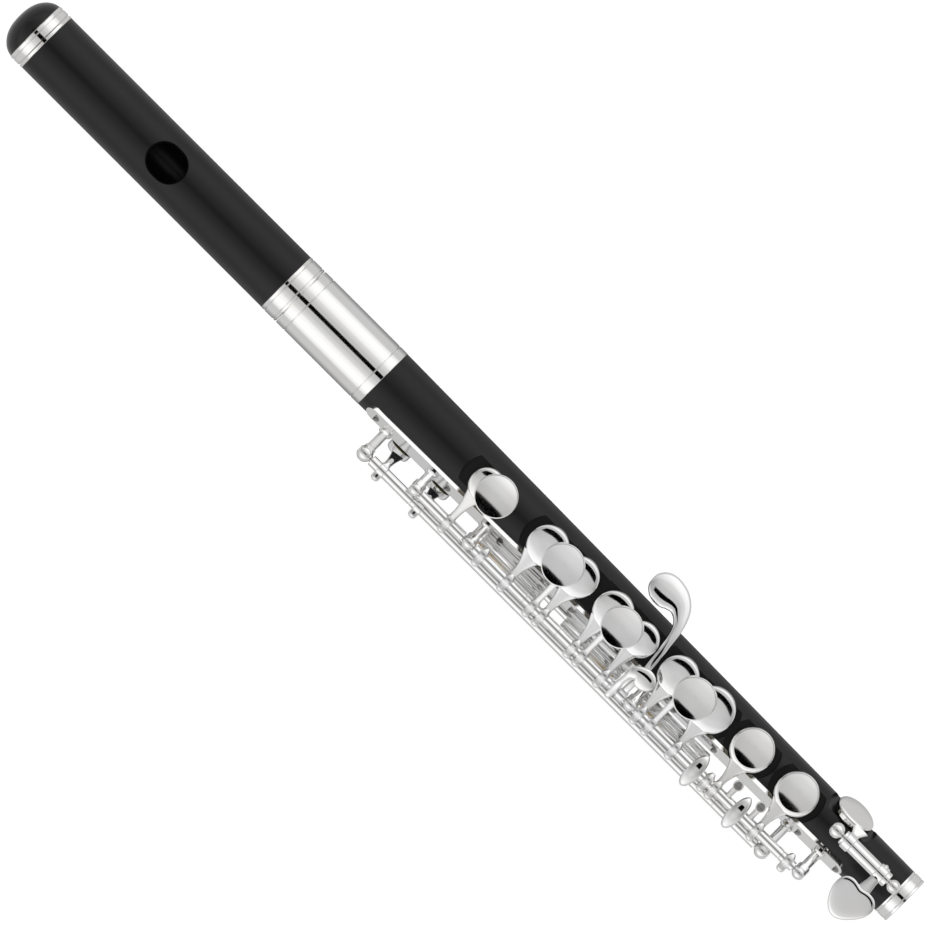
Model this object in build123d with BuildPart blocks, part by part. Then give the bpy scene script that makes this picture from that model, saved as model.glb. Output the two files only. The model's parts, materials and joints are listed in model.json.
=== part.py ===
from build123d import *
from math import atan2, cos, degrees, radians, sin, sqrt
import os

# Piccolo in C with a conical body, plateau keys and a closed G sharp. Millimetres.
# The origin is the centre of the foot end, on the bore axis. +X runs along the bore to the crown,
# +Y points to the side that carries the key rods, and +Z points up through the embouchure hole.

# ---- Driving dimensions: the tube ----
CROWN_TIP = 314.7
CROWN_RING_END = 309.1
CROWN_JOINT = 306.0
HEAD_RING_LOW = 305.0
EMBOUCHURE_X = 262.2
HEAD_LOW = 220.0
HEAD_JOINT = 215.0
BARREL_HIGH = 214.8
BARREL_LOW = 185.6
FOOT_RING_HIGH = 3.8
HEAD_RADIUS = 8.8
BODY_TOP_RADIUS = 8.8
BODY_FOOT_RADIUS = 6.85
RING_PROUD = 0.07
GROOVE_DEPTH = 0.26
HEAD_BORE = 5.4
BODY_BORE_TOP = 5.35
BODY_BORE_FOOT = 4.4
FOOT_BORE_LENGTH = 10.0
SOCKET_FLOOR = 191.0
TENON_RADIUS = 6.3
TENON_LOW = 191.8
TENON_HIGH = 232.0
RUNNING_GAP = 0.03
STOPPER_FACE = 270.8

# ---- Driving dimensions: the key rods, as (y, z) of each pivot line ----
MAIN_AXIS = (13.8, 7.34)
TRILL_AXIS = (16.4, 4.9)
THUMB_AXIS = (9.25, -7.8)
PINKY_AXIS = (-0.48, 10.1)
STEEL_RADIUS = 0.8
SLEEVE_BORE = 0.84
SLEEVE_RADIUS = 1.4
TRILL_SLEEVE_RADIUS = 1.45
PINKY_SLEEVE_RADIUS = 2.05
COLLAR_RADIUS = 1.7
BALL_RADIUS = 1.85

# ---- Driving dimensions: the cups, pads and touches ----
CUP_WALL = 0.4
CUP_HEIGHT = 2.35
PAD_DEPTH = 1.4
PAD_LIFT = 0.06
RIM_LIFT = 0.3
SEAT_LIP = 0.8
CUTTER_RADIUS = 7.6
TOUCH_THICKNESS = 0.9
DISH_DEPTH = 0.42
DEEP_DISH = 0.6
LEVER_CLEARANCE = 1.85
FRONT_ANGLE = 1.0
MAIN_OPENING = 9.0
THUMB_OPENING = 10.0

# ---- Driving dimensions: the ribs ----
RIB_ANGLE = 62.0
RIB_UPPER = 2.8
RIB_LOWER = 1.9
RIB_LOW_X = 16.5
RIB_HIGH_X = 183.2
RIB_SUNK = 0.5
RIB_PROUD = 0.6
BACK_RIB_ANGLE = 130.0
BACK_RIB_HALF = 1.9
BACK_RIB_LOW_X = 103.0
BACK_RIB_HIGH_X = 143.0

# Screw and post stations along the body.
RIB_SCREWS = (18.8, 32.0, 61.6, 75.9, 111.8, 136.8, 155.3, 180.4)
BACK_SCREWS = (111.5, 123.5, 135.0)
MAIN_POSTS = (24.1, 83.9, 141.2, 160.1)
TRILL_POSTS = (34.5, 175.5)
THUMB_POSTS = (107.3, 140.3)
PINKY_POSTS = (5.0, 24.9)
PINKY_BALLS = (1.8, 2.1)


def tube_radius(x):
    """Outer radius of the conical body at station x."""
    share = (x - FOOT_RING_HIGH) / (BARREL_LOW - FOOT_RING_HIGH)
    return BODY_FOOT_RADIUS + share * (BODY_TOP_RADIUS - BODY_FOOT_RADIUS)


def outward(angle, distance):
    """(y, z) of a point that lies at an angle from the top, turning to the rod side."""
    return distance * sin(radians(angle)), distance * cos(radians(angle))


def radial_plane(x, angle, distance=0.0):
    """Plane across a radius of the tube, facing outwards, its x along the tube."""
    y, z = outward(angle, distance)
    return Plane(origin=(x, y, z), x_dir=(1, 0, 0), z_dir=(0, *outward(angle, 1.0)))


class ToneHole:
    """A tone hole: its station, angle, hole radius, seat height and the radius of its cup."""

    def __init__(self, x, angle, hole, seat, cup):
        self.x, self.angle, self.hole, self.seat, self.cup = x, angle, hole, seat, cup

    def plane(self, height=0.0):
        return radial_plane(self.x, self.angle, self.seat + height)


# Tone holes from the barrel to the foot.
HOLES = {
    "d_sharp_trill": ToneHole(170.0, 103, 1.7, 8.95, 3.3),
    "d_trill": ToneHole(156.2, 103, 1.7, 8.85, 3.3),
    "c": ToneHole(148.1, FRONT_ANGLE, 1.9, 7.9, 4.75),
    "thumb_b": ToneHole(134.0, 176, 3.1, 7.55, 5.2),
    "b_flat": ToneHole(126.6, FRONT_ANGLE, 3.2, 7.15, 5.5),
    "a": ToneHole(115.7, FRONT_ANGLE, 3.2, 7.0, 5.4),
    "g": ToneHole(103.4, FRONT_ANGLE, 3.2, 6.85, 5.35),
    "lower_g": ToneHole(93.5, FRONT_ANGLE, 2.7, 6.75, 4.75),
    "g_sharp": ToneHole(90.5, 140, 2.9, 6.9, 4.9),
    "f_sharp": ToneHole(80.4, FRONT_ANGLE, 3.2, 6.6, 5.4),
    "f": ToneHole(68.5, FRONT_ANGLE, 3.5, 6.45, 6.1),
    "e": ToneHole(54.2, FRONT_ANGLE, 3.4, 6.3, 5.8),
    "d": ToneHole(38.5, FRONT_ANGLE, 3.4, 6.15, 5.8),
    "d_sharp": ToneHole(24.3, -64, 3.2, 6.1, 5.6),
}


def turned(profile_points):
    """A solid turned about the X axis from (x, radius) corners, closed along the axis."""
    with BuildPart() as piece:
        with BuildSketch(Plane.XY):
            with BuildLine():
                Polyline(*profile_points, close=True)
            make_face()
        revolve(axis=Axis.X)
    return piece.part


def save(part, name):
    """Writes one named piece to the parts folder."""
    part.label = name
    export_step(part, f"parts/{name}.step")


def turned_about(part, axis, angle):
    """A part turned about a pivot line that runs along X through (y, z)."""
    return part.rotate(Axis((0, *axis), (1, 0, 0)), angle)


def rod(low, high, radius, axis):
    """A plain round rod between two stations."""
    with BuildPart() as piece:
        with BuildSketch(Plane.YZ.offset(low)):
            with Locations(axis):
                Circle(radius)
        extrude(amount=high - low)
    return piece.part


def sleeve(low, high, axis, radius=SLEEVE_RADIUS):
    """A key tube that turns on its steel."""
    with BuildPart() as piece:
        with BuildSketch(Plane.YZ.offset(low)):
            with Locations(axis):
                Circle(radius)
                Circle(SLEEVE_BORE, mode=Mode.SUBTRACT)
        extrude(amount=high - low)
        outer = piece.edges().filter_by(GeomType.CIRCLE).group_by(SortBy.RADIUS)[-1]
        chamfer(outer, length=0.12)
    return piece.part


def collar(x, axis, width=2.3, radius=COLLAR_RADIUS):
    """A raised ring on a key tube, with rounded edges."""
    with BuildPart() as piece:
        with BuildSketch(Plane.YZ.offset(x - width / 2)):
            with Locations(axis):
                Circle(radius)
                Circle(SLEEVE_BORE, mode=Mode.SUBTRACT)
        extrude(amount=width)
        outer = piece.edges().filter_by(GeomType.CIRCLE).group_by(SortBy.RADIUS)[-1]
        fillet(outer, radius=0.35)
    return piece.part


# ---- Cups and pads ----
def cup(hole):
    """A softly domed key cup over its tone hole, in the closed position."""
    r = hole.cup
    crown = CUP_HEIGHT
    with BuildPart() as piece:
        with BuildSketch(Plane.XZ):
            with BuildLine():
                rim = Line((r - CUP_WALL, 0), (r, 0))
                wall = Line(rim @ 1, (r, crown - 1.4))
                shoulder = Spline(wall @ 1, (r * 0.8, crown - 0.33), tangents=[(0, 1), (-1, 0.24)])
                dome = Spline(
                    shoulder @ 1,
                    (r * 0.5, crown - 0.06),
                    (0, crown),
                    tangents=[(-1, 0.24), (-1, 0)],
                )
                Polyline(dome @ 1, (0, PAD_DEPTH), (r - CUP_WALL, PAD_DEPTH), rim @ 0)
            make_face()
        revolve(axis=Axis.Z)
    return piece.part.moved(hole.plane(RIM_LIFT).location)


def pad(hole):
    """The skin-covered pad that a cup holds."""
    r = hole.cup - CUP_WALL - 0.05
    thickness = RIM_LIFT + PAD_DEPTH - PAD_LIFT - 0.03
    with BuildPart() as piece:
        Cylinder(r, thickness, align=(Align.CENTER, Align.CENTER, Align.MIN))
        lower = piece.edges().filter_by(GeomType.CIRCLE).sort_by(Axis.Z)[0]
        fillet(lower, radius=0.25)
    return piece.part.moved(hole.plane(PAD_LIFT).location)


def finger_dish(x, y, z, radius, depth):
    """A round touch with a hollowed top, its underside centred on (x, y, z)."""
    lip = radius - 0.35
    floor = TOUCH_THICKNESS - depth
    ball = (lip**2 + depth**2) / (2 * depth)
    middle = floor + ball - sqrt(ball**2 - (lip / 2) ** 2)
    with BuildPart() as piece:
        with BuildSketch(Plane.XZ):
            with BuildLine():
                base = Line((0, 0), (radius - 0.5, 0))
                edge = Spline(
                    base @ 1,
                    (radius, TOUCH_THICKNESS * 0.62),
                    (lip, TOUCH_THICKNESS),
                    tangents=[(1, 0.1), (-1, -0.05)],
                )
                ThreePointArc(edge @ 1, (lip / 2, middle), (0, floor))
                Line((0, floor), (0, 0))
            make_face()
        revolve(axis=Axis.Z)
    return piece.part.moved(Location((x, y, z)))


def arm(x, start, end, start_width, end_width, start_thickness=1.3, end_thickness=1.9):
    """A rounded key arm in the plane across the tube, flared at its start and slim in the middle."""
    run = Vector(0, end[0] - start[0], end[1] - start[1])
    waist = min(start_width, end_width) * 0.85
    flare = waist + 0.35 * (start_width - waist)
    middle = (start_thickness + end_thickness) / 2
    sections = (
        (0.0, start_width, start_thickness),
        (0.3, flare, (start_thickness + middle) / 2),
        (0.62, waist, middle),
        (1.0, end_width, end_thickness),
    )
    with BuildPart() as piece:
        for share, width, thickness in sections:
            centre = (x, start[0] + share * run.Y, start[1] + share * run.Z)
            with BuildSketch(Plane(origin=centre, x_dir=(1, 0, 0), z_dir=run)):
                Ellipse(width / 2, thickness / 2)
        loft()
    return piece.part


CUP_ARM_SUNK = 1.4


def cup_arm(hole, x, axis, start_width, end_width=2.5, side=1, tipped=True):
    """The arm and collar that carry a cup, from the cup's flank to its key tube."""
    plane = hole.plane(RIM_LIFT)
    start = plane.from_local_coords((0, side * (hole.cup - CUP_ARM_SUNK), 1.25))
    with BuildPart() as piece:
        add(arm(x, (start.Y, start.Z), axis, start_width, end_width))
        add(collar(x, axis))
        if tipped:
            add(finial(x, axis))
        add(cup_hollow(hole), mode=Mode.SUBTRACT)
    return piece.part


FINIAL_LIFT = 0.5


def finial(x, axis, lift=FINIAL_LIFT):
    """The rounded drop that ends an arm over its key tube."""
    centre = (x, axis[0], axis[1] + lift)
    with BuildPart() as piece:
        with BuildSketch(Plane(origin=centre, x_dir=(0, 1, 0), z_dir=(1, 0, 0))):
            with BuildLine():
                drop = Spline(
                    (-2.6, 0.55),
                    (-0.6, 1.4),
                    (1.5, 1.15),
                    (3.3, 0),
                    tangents=[(1, 0.7), (0, -1)],
                )
                Polyline(drop @ 1, (-2.6, 0), drop @ 0)
            make_face()
        revolve(axis=Axis(centre, (0, 1, 0)))
    return piece.part


def touch_arm(x, axis, height):
    """The collar and short arm that carry a raised touch next to its cup."""
    with BuildPart() as piece:
        add(arm(x, (4.0, height), (axis[0] - 1.0, axis[1] + 0.4), 1.9, 1.9, 0.9, 1.5))
        add(collar(x, axis))
        add(finial(x, axis))
    return piece.part


def cup_hollow(hole):
    """The round space inside a cup that its pad fills."""
    with BuildPart() as piece:
        Cylinder(hole.cup - CUP_WALL, PAD_DEPTH + 1.0, align=(Align.CENTER, Align.CENTER, Align.MIN))
    return piece.part.moved(hole.plane(RIM_LIFT - 1.0).location)


def pillar(x, y, low, high, radius=1.3):
    """A short upright stem that carries a touch above a cup."""
    with BuildPart() as piece:
        with BuildSketch(Plane.XY.offset(low)):
            with Locations((x, y)):
                Circle(radius)
        extrude(amount=high - low)
    return piece.part


def shaped_plate(outline, crest, thickness):
    """A curved plate: a plan outline in (x, y), bent along a crest line in (y, z)."""
    low_x = min(point[0] for point in outline) - 1
    high_x = max(point[0] for point in outline) + 1
    with BuildPart() as piece:
        with BuildSketch(Plane.YZ.offset(low_x)):
            with BuildLine():
                upper = Spline(*crest)
                lower = Spline(*[(y, z - thickness) for y, z in crest])
                Line(upper @ 1, lower @ 1)
                Line(upper @ 0, lower @ 0)
            make_face()
        extrude(amount=high_x - low_x)
        with BuildSketch(Plane.XY.offset(-5)):
            with BuildLine():
                Spline(*outline, periodic=True)
            make_face()
        extrude(amount=30, mode=Mode.INTERSECT)
    return piece.part


os.makedirs("parts", exist_ok=True)

# ---- The head joint ----
with BuildPart() as head_tube:
    add(
        turned(
            [
                (HEAD_JOINT, TENON_RADIUS + RUNNING_GAP),
                (HEAD_JOINT, HEAD_RADIUS - 1.0),
                (HEAD_LOW, HEAD_RADIUS - 1.0),
                (HEAD_LOW, HEAD_RADIUS),
                (HEAD_RING_LOW, HEAD_RADIUS),
                (HEAD_RING_LOW, HEAD_BORE),
                (TENON_HIGH + 0.3, HEAD_BORE),
                (TENON_HIGH + 0.3, TENON_RADIUS + RUNNING_GAP),
            ]
        )
    )
    with BuildSketch(Plane.XY.offset(HEAD_RADIUS + 0.2)):
        with Locations((EMBOUCHURE_X, 0)):
            RectangleRounded(11.5, 10.2, 4.95)
    extrude(amount=-HEAD_RADIUS, taper=7, mode=Mode.SUBTRACT)
save(head_tube.part, "head_tube")

with BuildPart() as head_tenon:
    add(
        turned(
            [
                (TENON_LOW, HEAD_BORE),
                (TENON_LOW, TENON_RADIUS),
                (TENON_HIGH, TENON_RADIUS),
                (TENON_HIGH, HEAD_BORE),
            ]
        )
    )
save(head_tenon.part, "head_tenon")

with BuildPart() as head_ferrule:
    outer = HEAD_RADIUS + RING_PROUD
    add(
        turned(
            [
                (HEAD_JOINT, HEAD_RADIUS - 1.0),
                (HEAD_JOINT, outer - 0.25),
                (HEAD_JOINT + 0.25, outer),
                (HEAD_JOINT + 0.65, outer),
                (HEAD_JOINT + 0.85, outer - GROOVE_DEPTH),
                (HEAD_JOINT + 1.05, outer),
                (HEAD_LOW - 1.2, outer),
                (HEAD_LOW - 1.0, outer - GROOVE_DEPTH),
                (HEAD_LOW - 0.8, outer),
                (HEAD_LOW - 0.15, outer),
                (HEAD_LOW, outer - 0.1),
                (HEAD_LOW, HEAD_RADIUS - 1.0),
            ]
        )
    )
save(head_ferrule.part, "head_ferrule")

with BuildPart() as head_end_ring:
    high = HEAD_RING_LOW + 0.9
    add(
        turned(
            [
                (HEAD_RING_LOW, HEAD_BORE),
                (HEAD_RING_LOW, outer - 0.1),
                (HEAD_RING_LOW + 0.15, outer),
                (high - 0.2, outer),
                (high, outer - 0.2),
                (high, HEAD_BORE),
            ]
        )
    )
save(head_end_ring.part, "head_end_ring")

# ---- The crown and the stopper that it draws along the head bore ----
CROWN_THREAD = 1.5
THREAD_GAP = 0.05
CROWN_HOLLOW_END = 311.9
with BuildPart() as crown_ring:
    low = CROWN_JOINT + 0.08
    add(
        turned(
            [
                (low, HEAD_BORE + 0.6),
                (low, outer - 0.2),
                (low + 0.2, outer),
                (307.8, outer),
                (308.0, outer - GROOVE_DEPTH),
                (308.2, outer),
                (CROWN_RING_END - 0.25, outer),
                (CROWN_RING_END, outer - 0.2),
                (CROWN_RING_END, HEAD_BORE + 0.6),
            ]
        )
    )
save(crown_ring.part, "crown_ring")

with BuildPart() as crown_cap:
    with BuildSketch(Plane.XY):
        with BuildLine():
            start = (CROWN_RING_END, HEAD_RADIUS - 0.1)
            dome = Spline(
                start,
                (CROWN_RING_END + 3.4, HEAD_RADIUS - 1.9),
                (CROWN_TIP, 0),
                tangents=[(1, -0.12), (0, -1)],
            )
            Polyline(
                dome @ 1,
                (CROWN_HOLLOW_END, 0),
                (CROWN_HOLLOW_END, CROWN_THREAD + THREAD_GAP),
                (CROWN_JOINT + 0.08, CROWN_THREAD + THREAD_GAP),
                (CROWN_JOINT + 0.08, HEAD_BORE + 0.6),
                (CROWN_RING_END, HEAD_BORE + 0.6),
                start,
            )
        make_face()
    revolve(axis=Axis.X)
save(crown_cap.part, "crown_cap")

STOPPER_PLATE = 0.8
CORK_LENGTH = 8.5
STOPPER_RADIUS = HEAD_BORE - RUNNING_GAP
STOPPER_CORE = 2.2
SCREW_TIP = 309.8
with BuildPart() as stopper_screw:
    cork_low = STOPPER_FACE + STOPPER_PLATE
    cork_high = cork_low + CORK_LENGTH
    add(
        turned(
            [
                (STOPPER_FACE, 0),
                (STOPPER_FACE, STOPPER_RADIUS - 0.15),
                (cork_low, STOPPER_RADIUS - 0.15),
                (cork_low, STOPPER_CORE),
                (cork_high, STOPPER_CORE),
                (cork_high, CROWN_THREAD),
                (SCREW_TIP, CROWN_THREAD),
                (SCREW_TIP, 0),
            ]
        )
    )
save(stopper_screw.part, "stopper_screw")

with BuildPart() as stopper_cork:
    add(
        turned(
            [
                (cork_low, STOPPER_CORE),
                (cork_low, STOPPER_RADIUS),
                (cork_high, STOPPER_RADIUS),
                (cork_high, STOPPER_CORE),
            ]
        )
    )
save(stopper_cork.part, "stopper_cork")

with BuildPart() as stopper_nut:
    add(
        turned(
            [
                (cork_high, STOPPER_CORE),
                (cork_high, STOPPER_RADIUS - 0.15),
                (cork_high + 1.0, STOPPER_RADIUS - 0.15),
                (cork_high + 1.0, CROWN_THREAD),
                (cork_high, CROWN_THREAD),
            ]
        )
    )
save(stopper_nut.part, "stopper_nut")

# ---- The barrel and the foot ring ----
SPIGOT_RADIUS = 7.6
with BuildPart() as barrel:
    add(
        turned(
            [
                (BARREL_LOW, SPIGOT_RADIUS),
                (BARREL_LOW, outer - 0.1),
                (BARREL_LOW + 0.15, outer),
                (188.1, outer),
                (188.3, outer - GROOVE_DEPTH),
                (188.5, outer),
                (211.7, outer),
                (211.9, outer - GROOVE_DEPTH),
                (212.1, outer),
                (BARREL_HIGH - 0.2, outer),
                (BARREL_HIGH, outer - 0.2),
                (BARREL_HIGH, TENON_RADIUS + RUNNING_GAP),
                (SOCKET_FLOOR, TENON_RADIUS + RUNNING_GAP),
                (SOCKET_FLOOR, SPIGOT_RADIUS),
            ]
        )
    )
save(barrel.part, "barrel")

FOOT_SPIGOT = 6.2
with BuildPart() as foot_ring:
    foot_outer = BODY_FOOT_RADIUS + RING_PROUD
    add(
        turned(
            [
                (0, FOOT_SPIGOT),
                (0, foot_outer - 0.15),
                (0.15, foot_outer),
                (0.58, foot_outer),
                (0.78, foot_outer - GROOVE_DEPTH),
                (0.98, foot_outer),
                (2.87, foot_outer),
                (3.07, foot_outer - GROOVE_DEPTH),
                (3.27, foot_outer),
                (FOOT_RING_HIGH - 0.1, foot_outer),
                (FOOT_RING_HIGH, foot_outer - 0.1),
                (FOOT_RING_HIGH, FOOT_SPIGOT),
            ]
        )
    )
save(foot_ring.part, "foot_ring")


# ---- The ribs that carry the posts ----
def rib(low, high, angle, upper, lower):
    """A flat strap let into the tube along one side, with rounded ends."""
    with BuildPart() as piece:
        for x in (low, high):
            rise = tube_radius(x)
            plane = Plane(
                origin=(x, 0, 0),
                x_dir=(0, *outward(angle - 90, 1.0)),
                z_dir=(1, 0, 0),
            )
            with BuildSketch(plane):
                with Locations((-(lower - upper) / 2, -rise - (RIB_PROUD - RIB_SUNK) / 2)):
                    Rectangle(upper + lower, RIB_PROUD + RIB_SUNK)
        loft(ruled=True)
        middle = (low + high) / 2
        with BuildSketch(radial_plane(middle, angle)):
            with Locations((0, (lower - upper) / 2)):
                RectangleRounded(high - low, upper + lower, (upper + lower) / 2 - 0.01)
        extrude(amount=20, mode=Mode.INTERSECT)
    return piece.part


SCREW_HEAD = 1.6
SCREW_SHANK = 0.8
SCREW_DEPTH = 2.2


def countersunk(x, angle, offset=0.0):
    """A countersunk screw whose head lies flush in a rib."""
    top = tube_radius(x) + RIB_PROUD
    with BuildPart() as piece:
        with BuildSketch(Plane.XZ):
            with BuildLine():
                Polyline(
                    (0, 0),
                    (SCREW_HEAD, 0),
                    (SCREW_HEAD, -0.15),
                    (SCREW_SHANK, -0.85),
                    (SCREW_SHANK, -SCREW_DEPTH),
                    (0, -SCREW_DEPTH),
                    close=True,
                )
            make_face()
        revolve(axis=Axis.Z)
    plane = radial_plane(x, angle, top)
    return piece.part.moved(plane.location * Location((0, offset, 0)))


def cross_slot(x, angle, offset=0.0):
    """The cross-shaped recess for a screwdriver."""
    with BuildPart() as piece:
        for turn in (0, 90):
            with Locations((0, 0, 0)):
                Box(1.9, 0.32, 0.7, rotation=(0, 0, turn + 20))
    plane = radial_plane(x, angle, tube_radius(x) + RIB_PROUD)
    return piece.part.moved(plane.location * Location((0, offset, 0)))


def scallop(hole):
    """The round clearance that a rib leaves for a cup."""
    with BuildPart() as piece:
        Cylinder(hole.cup + 0.5, 20, align=(Align.CENTER, Align.CENTER, Align.MIN))
    return piece.part.moved(hole.plane(-1.5).location)


rib_outline = rib(RIB_LOW_X, RIB_HIGH_X, RIB_ANGLE, RIB_UPPER, RIB_LOWER)
back_outline = rib(BACK_RIB_LOW_X, BACK_RIB_HIGH_X, BACK_RIB_ANGLE, BACK_RIB_HALF, BACK_RIB_HALF)
TOP_HOLES = [hole for hole in HOLES.values() if hole.angle == FRONT_ANGLE]

with BuildPart() as key_rib:
    add(rib_outline)
    for hole in TOP_HOLES:
        add(scallop(hole), mode=Mode.SUBTRACT)
    for x in RIB_SCREWS:
        add(countersunk(x, RIB_ANGLE), mode=Mode.SUBTRACT)
key_rib_kept = key_rib.part.solids().sort_by(SortBy.VOLUME)[-1]
save(Part() + key_rib_kept, "key_rib")

with BuildPart() as back_rib:
    add(back_outline)
    for x in BACK_SCREWS:
        add(countersunk(x, BACK_RIB_ANGLE), mode=Mode.SUBTRACT)
save(back_rib.part, "back_rib")

with BuildPart() as rib_screws:
    for stations, angle in ((RIB_SCREWS, RIB_ANGLE), (BACK_SCREWS, BACK_RIB_ANGLE)):
        for x in stations:
            add(countersunk(x, angle) - cross_slot(x, angle))
save(rib_screws.part, "rib_screws")

# ---- The body tube ----
LIP_DROP = 0.55
with BuildPart() as body_tube:
    add(
        turned(
            [
                (0, BODY_BORE_FOOT + 0.1),
                (0, FOOT_SPIGOT),
                (FOOT_RING_HIGH, FOOT_SPIGOT),
                (FOOT_RING_HIGH, BODY_FOOT_RADIUS),
                (BARREL_LOW, BODY_TOP_RADIUS),
                (BARREL_LOW, SPIGOT_RADIUS),
                (SOCKET_FLOOR, SPIGOT_RADIUS),
                (SOCKET_FLOOR, BODY_BORE_TOP),
                (FOOT_BORE_LENGTH, BODY_BORE_FOOT),
                (FOOT_BORE_LENGTH, BODY_BORE_FOOT + 0.1),
            ]
        )
    )
    for hole in HOLES.values():
        if hole.seat > tube_radius(hole.x):
            with BuildSketch(radial_plane(hole.x, hole.angle, 7.0)):
                Circle(hole.hole + SEAT_LIP)
            extrude(amount=hole.seat - 7.0)
        else:
            with BuildSketch(hole.plane()):
                Circle(CUTTER_RADIUS)
            extrude(amount=6, mode=Mode.SUBTRACT)
            with BuildSketch(hole.plane(-LIP_DROP)):
                Circle(CUTTER_RADIUS)
                Circle(hole.hole + SEAT_LIP, mode=Mode.SUBTRACT)
            extrude(amount=LIP_DROP, mode=Mode.SUBTRACT)
        with BuildSketch(radial_plane(hole.x, hole.angle)):
            Circle(hole.hole)
        extrude(amount=hole.seat + 1, mode=Mode.SUBTRACT)
    add(key_rib_kept, mode=Mode.SUBTRACT)
    add(back_outline, mode=Mode.SUBTRACT)
    for stations, angle in ((RIB_SCREWS, RIB_ANGLE), (BACK_SCREWS, BACK_RIB_ANGLE)):
        for x in stations:
            add(countersunk(x, angle), mode=Mode.SUBTRACT)
save(body_tube.part, "body_tube")


# ---- Posts ----
def post(x, axis, ball, neck, foot, cap, foot_thickness=0.9, ringed=True):
    """A turned post that stands square to the tube and ends in a drilled ball."""
    angle = degrees(atan2(axis[0], axis[1]))
    reach = sqrt(axis[0] ** 2 + axis[1] ** 2)
    base = tube_radius(x) - 0.4
    face = tube_radius(x) + foot_thickness
    shoulder = reach - 1.9
    profile = [(0, base), (foot, base)]
    if ringed:
        profile += [
            (foot, face + 0.25),
            (foot - 0.3, face + 0.55),
            (neck, face + 0.75),
            (neck, shoulder - 0.5),
            (cap, shoulder - 0.25),
            (cap, reach),
            (0, reach),
        ]
    else:
        below = reach - ball + 0.5
        profile += [(foot, face), (neck, face + 0.25), (neck, below), (0, below)]
    with BuildPart() as piece:
        with BuildSketch(Plane.XZ):
            with BuildLine():
                Polyline(*profile, close=True)
            make_face()
        revolve(axis=Axis.Z)
        with Locations((0, 0, reach)):
            Sphere(ball)
    standing = piece.part.moved(radial_plane(x, angle).location)
    return standing - rod(x - 6, x + 6, STEEL_RADIUS + RUNNING_GAP, axis)


FULL_TENON = turned([(5, 0), (5, 6.4), (BARREL_LOW, 8.4), (BARREL_LOW, 0)])
with BuildPart() as main_posts:
    for x in MAIN_POSTS:
        add(post(x, MAIN_AXIS, BALL_RADIUS, 1.3, 1.9, 1.74))
    add(rib_outline, mode=Mode.SUBTRACT)
    add(body_tube.part, mode=Mode.SUBTRACT)
    add(FULL_TENON, mode=Mode.SUBTRACT)
save(main_posts.part, "main_posts")

with BuildPart() as trill_posts:
    for x in TRILL_POSTS:
        add(post(x, TRILL_AXIS, 2.15, 1.25, 1.9, 1.55))
    add(rib_outline, mode=Mode.SUBTRACT)
    add(body_tube.part, mode=Mode.SUBTRACT)
    add(FULL_TENON, mode=Mode.SUBTRACT)
save(trill_posts.part, "trill_posts")

with BuildPart() as thumb_posts:
    for x in THUMB_POSTS:
        add(post(x, THUMB_AXIS, 1.6, 1.1, 1.7, 1.5, 0.6))
    add(back_outline, mode=Mode.SUBTRACT)
    add(body_tube.part, mode=Mode.SUBTRACT)
    add(FULL_TENON, mode=Mode.SUBTRACT)
save(thumb_posts.part, "thumb_posts")

with BuildPart() as pinky_posts:
    for x, ball in zip(PINKY_POSTS, PINKY_BALLS):
        add(post(x, PINKY_AXIS, ball, 1.0, 1.4, ball, 0.35, False))
    add(foot_ring.part, mode=Mode.SUBTRACT)
    add(body_tube.part, mode=Mode.SUBTRACT)
    add(FULL_TENON, mode=Mode.SUBTRACT)
save(pinky_posts.part, "pinky_posts")

# ---- Steels that are fixed in their posts ----
POST_END = 1.5
for name, stations, axis in (
    ("c_sharp_steel", (MAIN_POSTS[2], MAIN_POSTS[3]), MAIN_AXIS),
    ("thumb_steel", THUMB_POSTS, THUMB_AXIS),
    ("pinky_steel", PINKY_POSTS, PINKY_AXIS),
):
    low_end = stations[0] + 0.3 if name == "c_sharp_steel" else stations[0] - POST_END
    save(rod(low_end, stations[1] + POST_END, STEEL_RADIUS, axis), name)


# ---- Keys: each is built closed, then turned to where it rests ----
def finished_key(pieces, steels, axis, rest_angle, core):
    """Joins the pieces of one key, bores it for its steel and turns it to rest."""
    with BuildPart() as piece:
        for item in pieces:
            add(item)
        for low, high in steels:
            add(rod(low, high, core, axis), mode=Mode.SUBTRACT)
    return turned_about(piece.part, axis, rest_angle)


def seat_top(hole):
    """Height of a closed cup above the bore axis."""
    return hole.seat + RIM_LIFT + CUP_HEIGHT


c_hole, b_hole, a_hole = HOLES["c"], HOLES["b_flat"], HOLES["a"]
g_hole, lower_g, f_sharp = HOLES["g"], HOLES["lower_g"], HOLES["f_sharp"]
f_hole, e_hole, d_hole = HOLES["f"], HOLES["e"], HOLES["d"]
SLEEVE_LIMITS = {
    "c_sharp_key": (143.2, 158.1),
    "b_flat_key": (121.4, 139.2),
    "a_key": (109.7, 121.3),
    "g_key": (91.3, 109.6),
    "shake_lever": (88.5, 91.2),
    "g_sharp_key": (85.9, 88.4),
    "f_sharp_key": (78.2, 81.9),
    "f_key": (61.3, 78.1),
    "e_key": (47.0, 61.2),
    "d_key": (30.5, 46.9),
    "end_collar": (26.1, 30.4),
}


def main_sleeve(name):
    """The tube of one key on the main rod."""
    low, high = SLEEVE_LIMITS[name]
    return sleeve(low, high, MAIN_AXIS)


def main_key(name, pieces, core=SLEEVE_BORE):
    """Finishes and saves a key that stands open on the main rod."""
    low, high = SLEEVE_LIMITS[name]
    part = finished_key([main_sleeve(name), *pieces], [(low - 2, high + 2)], MAIN_AXIS, -MAIN_OPENING, core)
    save(part, name)


def main_pad(name, *holes):
    """Saves the pads of a key that stands open on the main rod."""
    with BuildPart() as piece:
        for hole in holes:
            add(pad(hole))
    save(turned_about(piece.part, MAIN_AXIS, -MAIN_OPENING), name)


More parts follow.
